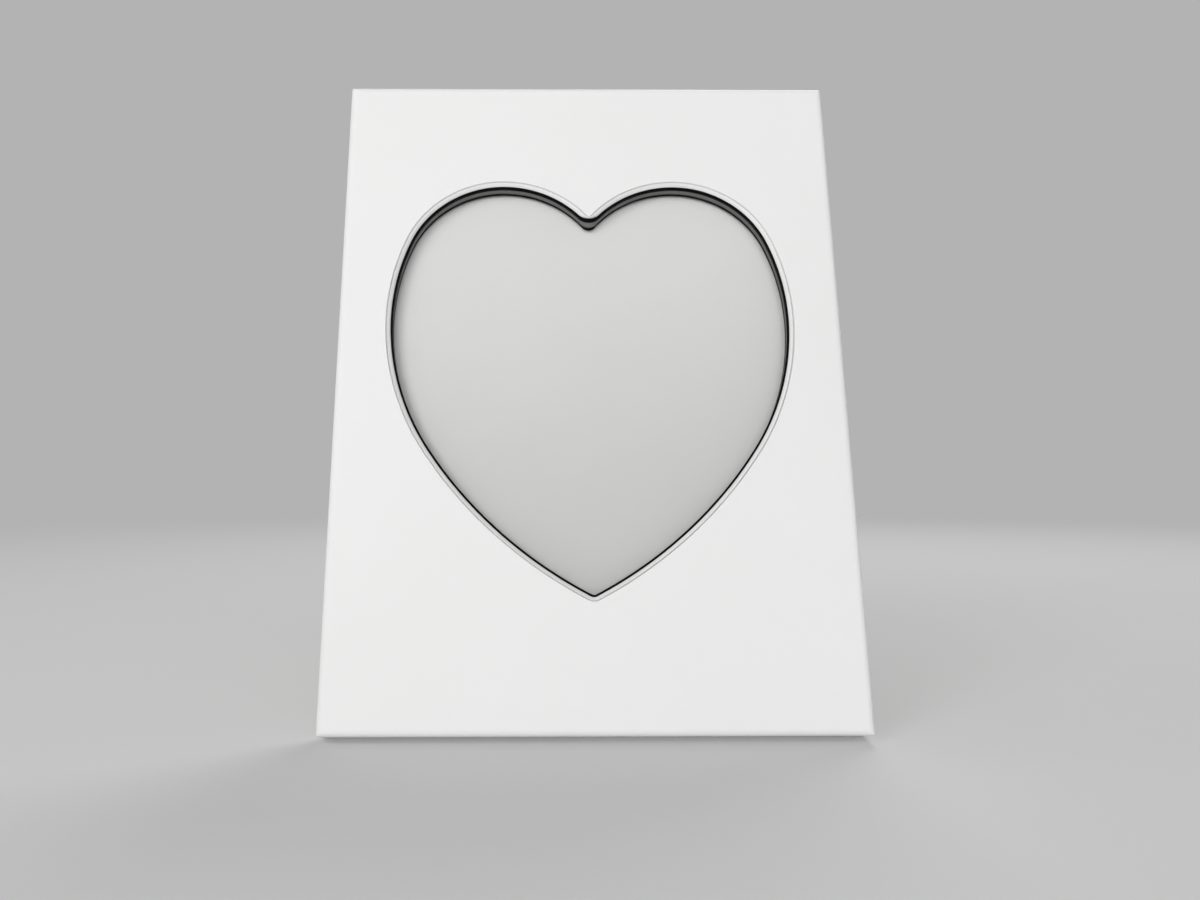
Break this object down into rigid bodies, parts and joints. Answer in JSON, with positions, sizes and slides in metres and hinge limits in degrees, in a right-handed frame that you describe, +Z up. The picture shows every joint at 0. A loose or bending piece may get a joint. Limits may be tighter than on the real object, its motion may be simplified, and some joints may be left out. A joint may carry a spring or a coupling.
{
  "type": "photo frame",
  "caption": "Upright rectangular photo frame with a bevelled heart-shaped window, glazed and backed, that stands on a folding easel leg or hangs from a wire ring.",
  "frame": {"origin": "on the table, under the middle of the standing frame's box: midway across, and midway between the front of the bottom edge and the back of the leg's foot", "axes": "+Z up, +X to the right seen from the front, +Y to the back; the face looks along -Y and leans back 15 degrees"},
  "size_m": [0.15, 0.073, 0.1956],
  "materials": {
    "white_lacquer": "satin white lacquer on fibreboard",
    "dark_trim": "matte dark trim",
    "clear_sheet": "clear acrylic sheet",
    "grey_card": "plain pale grey card",
    "kraft_card": "corrugated kraft card",
    "hardboard": "brown hardboard",
    "plated_steel": "nickel-plated steel",
    "woven_ribbon": "woven black ribbon",
    "soft_pad": "soft dark pad"
  },
  "bodies": {
    "frame": {"front_frame": "white_lacquer", "heart_liner": "dark_trim", "glazing": "clear_sheet", "photo_card": "grey_card", "filler_card": "kraft_card", "back_board": "hardboard", "turn_button_screws": "plated_steel", "hinge_fixed_leaf": "plated_steel", "hinge_pin": "plated_steel", "hinge_fixed_rivets": "plated_steel", "hanger_strap": "plated_steel", "hanger_rivet": "plated_steel", "stay_ribbon": "woven_ribbon", "ribbon_staple_board": "plated_steel", "bumper_pad_lower_left": "soft_pad", "bumper_pad_lower_right": "soft_pad", "bumper_pad_upper_left": "soft_pad", "bumper_pad_upper_right": "soft_pad"},
    "leg": {"stand_leg": "hardboard", "hinge_moving_leaf": "plated_steel", "hinge_moving_rivets": "plated_steel", "ribbon_staple_leg": "plated_steel"},
    "hanger_ring": {"hanger_ring": "plated_steel"},
    "turn_button_lower_left": {"turn_button_lower_left": "plated_steel"},
    "turn_button_lower_right": {"turn_button_lower_right": "plated_steel"},
    "turn_button_upper_left": {"turn_button_upper_left": "plated_steel"},
    "turn_button_upper_right": {"turn_button_upper_right": "plated_steel"}
  },
  "joints": [
    {"name": "leg_fold", "type": "hinge", "parent": "frame", "child": "leg", "pos_m": [0, 0.00946, 0.1209], "axis": [1, 0, 0], "range_deg": [-27, 0], "deforming": ["stay_ribbon"]},
    {"name": "ring_swing", "type": "hinge", "parent": "frame", "child": "hanger_ring", "pos_m": [0, 0.02042, 0.16558], "axis": [1, 0, 0], "range_deg": [-12, 160]},
    {"name": "turn_button_lower_left_turn", "type": "hinge", "parent": "frame", "child": "turn_button_lower_left", "pos_m": [-0.07025, -0.01264, 0.04762], "axis": [0, 0.9659, -0.2588], "continuous": true},
    {"name": "turn_button_lower_right_turn", "type": "hinge", "parent": "frame", "child": "turn_button_lower_right", "pos_m": [0.07025, -0.01264, 0.04762], "axis": [0, 0.9659, -0.2588], "continuous": true},
    {"name": "turn_button_upper_left_turn", "type": "hinge", "parent": "frame", "child": "turn_button_upper_left", "pos_m": [-0.07025, 0.0135, 0.14518], "axis": [0, 0.9659, -0.2588], "continuous": true},
    {"name": "turn_button_upper_right_turn", "type": "hinge", "parent": "frame", "child": "turn_button_upper_right", "pos_m": [0.07025, 0.0135, 0.14518], "axis": [0, 0.9659, -0.2588], "continuous": true}
  ]
}
